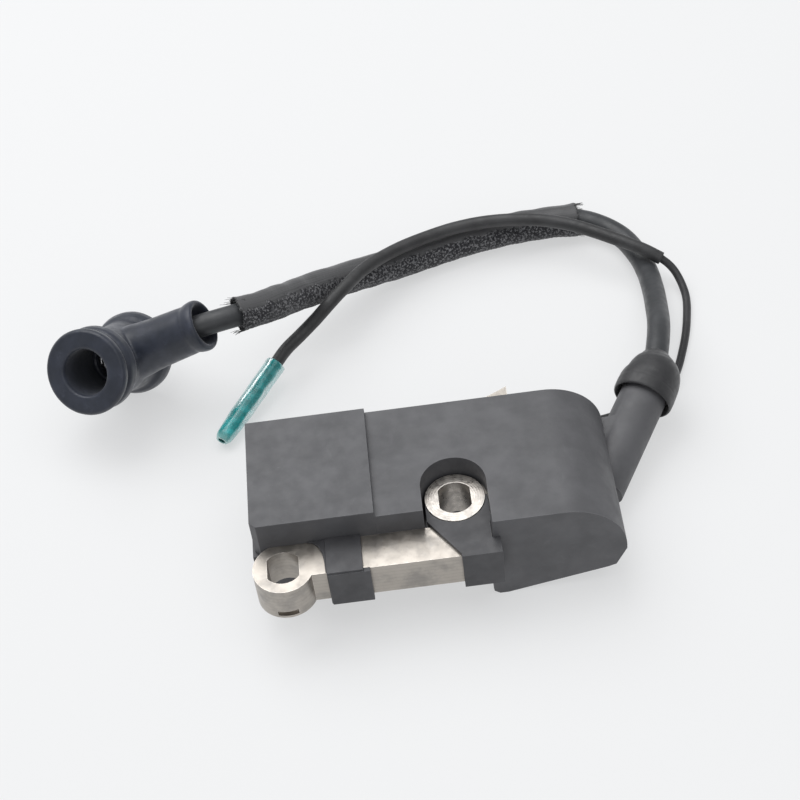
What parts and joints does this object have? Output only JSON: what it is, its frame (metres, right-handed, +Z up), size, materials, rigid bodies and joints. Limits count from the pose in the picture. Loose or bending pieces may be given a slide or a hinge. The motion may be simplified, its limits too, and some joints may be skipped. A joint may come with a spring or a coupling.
{
  "type": "ignition coil",
  "caption": "Small-engine ignition coil: potted module on a laminated core, with a high-tension lead to an angled plug boot and a sleeved stop wire ending in a covered terminal.",
  "frame": {"origin": "on the surface the module stands on, under the middle of the module's box (the loose lead, its boot and the stop wire not counted)", "axes": "+X along the module towards the high-tension tower, +Y back towards the pole faces, +Z up through the mounting slots"},
  "size_m": [0.1415, 0.1126, 0.0288],
  "materials": {
    "case_plastic": "fine moulded grain, dark grey",
    "cover_plastic": "fine moulded grain, dark grey",
    "strap_plastic": "smooth, near black",
    "resin": "poured epoxy, slightly glossy",
    "core_steel": "pressed sheet stack, satin",
    "bushing_steel": "faced steel, satin",
    "bobbin_nylon": "natural nylon",
    "copper_wire": "enamelled copper",
    "board_laminate": "green solder mask",
    "capacitor_film": "dipped film, red brown",
    "chip_plastic": "moulded epoxy",
    "resistor_body": "tan lacquer",
    "tinned_steel": "tin plated",
    "brass": "plain",
    "seal_rubber": "soft, dull",
    "lead_rubber": "smooth, slight sheen",
    "braid": "woven fibreglass sleeve, coated, speckled",
    "boot_rubber": "moulded, faint sheen, blue black",
    "spring_steel": "drawn wire",
    "wire_pvc": "smooth insulation",
    "tube_pvc": "soft tube, slight sheen",
    "teal_vinyl": "translucent soft vinyl, teal"
  },
  "bodies": {
    "module": {"case_body": "case_plastic", "module_cover": "cover_plastic", "potting_resin": "resin", "laminated_core": "core_steel", "left_core_strap": "strap_plastic", "right_core_strap": "strap_plastic", "mount_bushing": "bushing_steel", "primary_bobbin": "bobbin_nylon", "primary_winding": "copper_wire", "secondary_bobbin": "bobbin_nylon", "secondary_winding": "copper_wire", "charge_bobbin": "bobbin_nylon", "charge_winding": "copper_wire", "circuit_board": "board_laminate", "storage_capacitor": "capacitor_film", "switch_thyristor": "chip_plastic", "control_chip": "chip_plastic", "diodes": "chip_plastic", "resistors": "resistor_body", "ground_strap": "tinned_steel", "ht_wire": "copper_wire", "ht_post": "brass", "tower_seal": "seal_rubber", "ht_lead": "lead_rubber", "ht_lead_sleeve": "braid", "wire_grommet": "seal_rubber", "kill_wire": "wire_pvc", "wire_tube": "tube_pvc", "bullet_terminal": "tinned_steel"},
    "boot": {"plug_boot": "boot_rubber", "plug_spring": "spring_steel", "lead_contact": "brass"},
    "terminal_sleeve": {"terminal_cover": "teal_vinyl"}
  },
  "joints": [
    {"name": "boot_swivel", "type": "hinge", "parent": "module", "child": "boot", "pos_m": [-0.07396, 0.0447, 0.013], "axis": [0.9085, -0.0955, 0.4067], "range_deg": [-90, 90]},
    {"name": "terminal_cover_slide", "type": "slide", "parent": "module", "child": "terminal_sleeve", "axis": [0.5699, 0.8139, 0.1132], "range_m": [0, 0.004]}
  ]
}
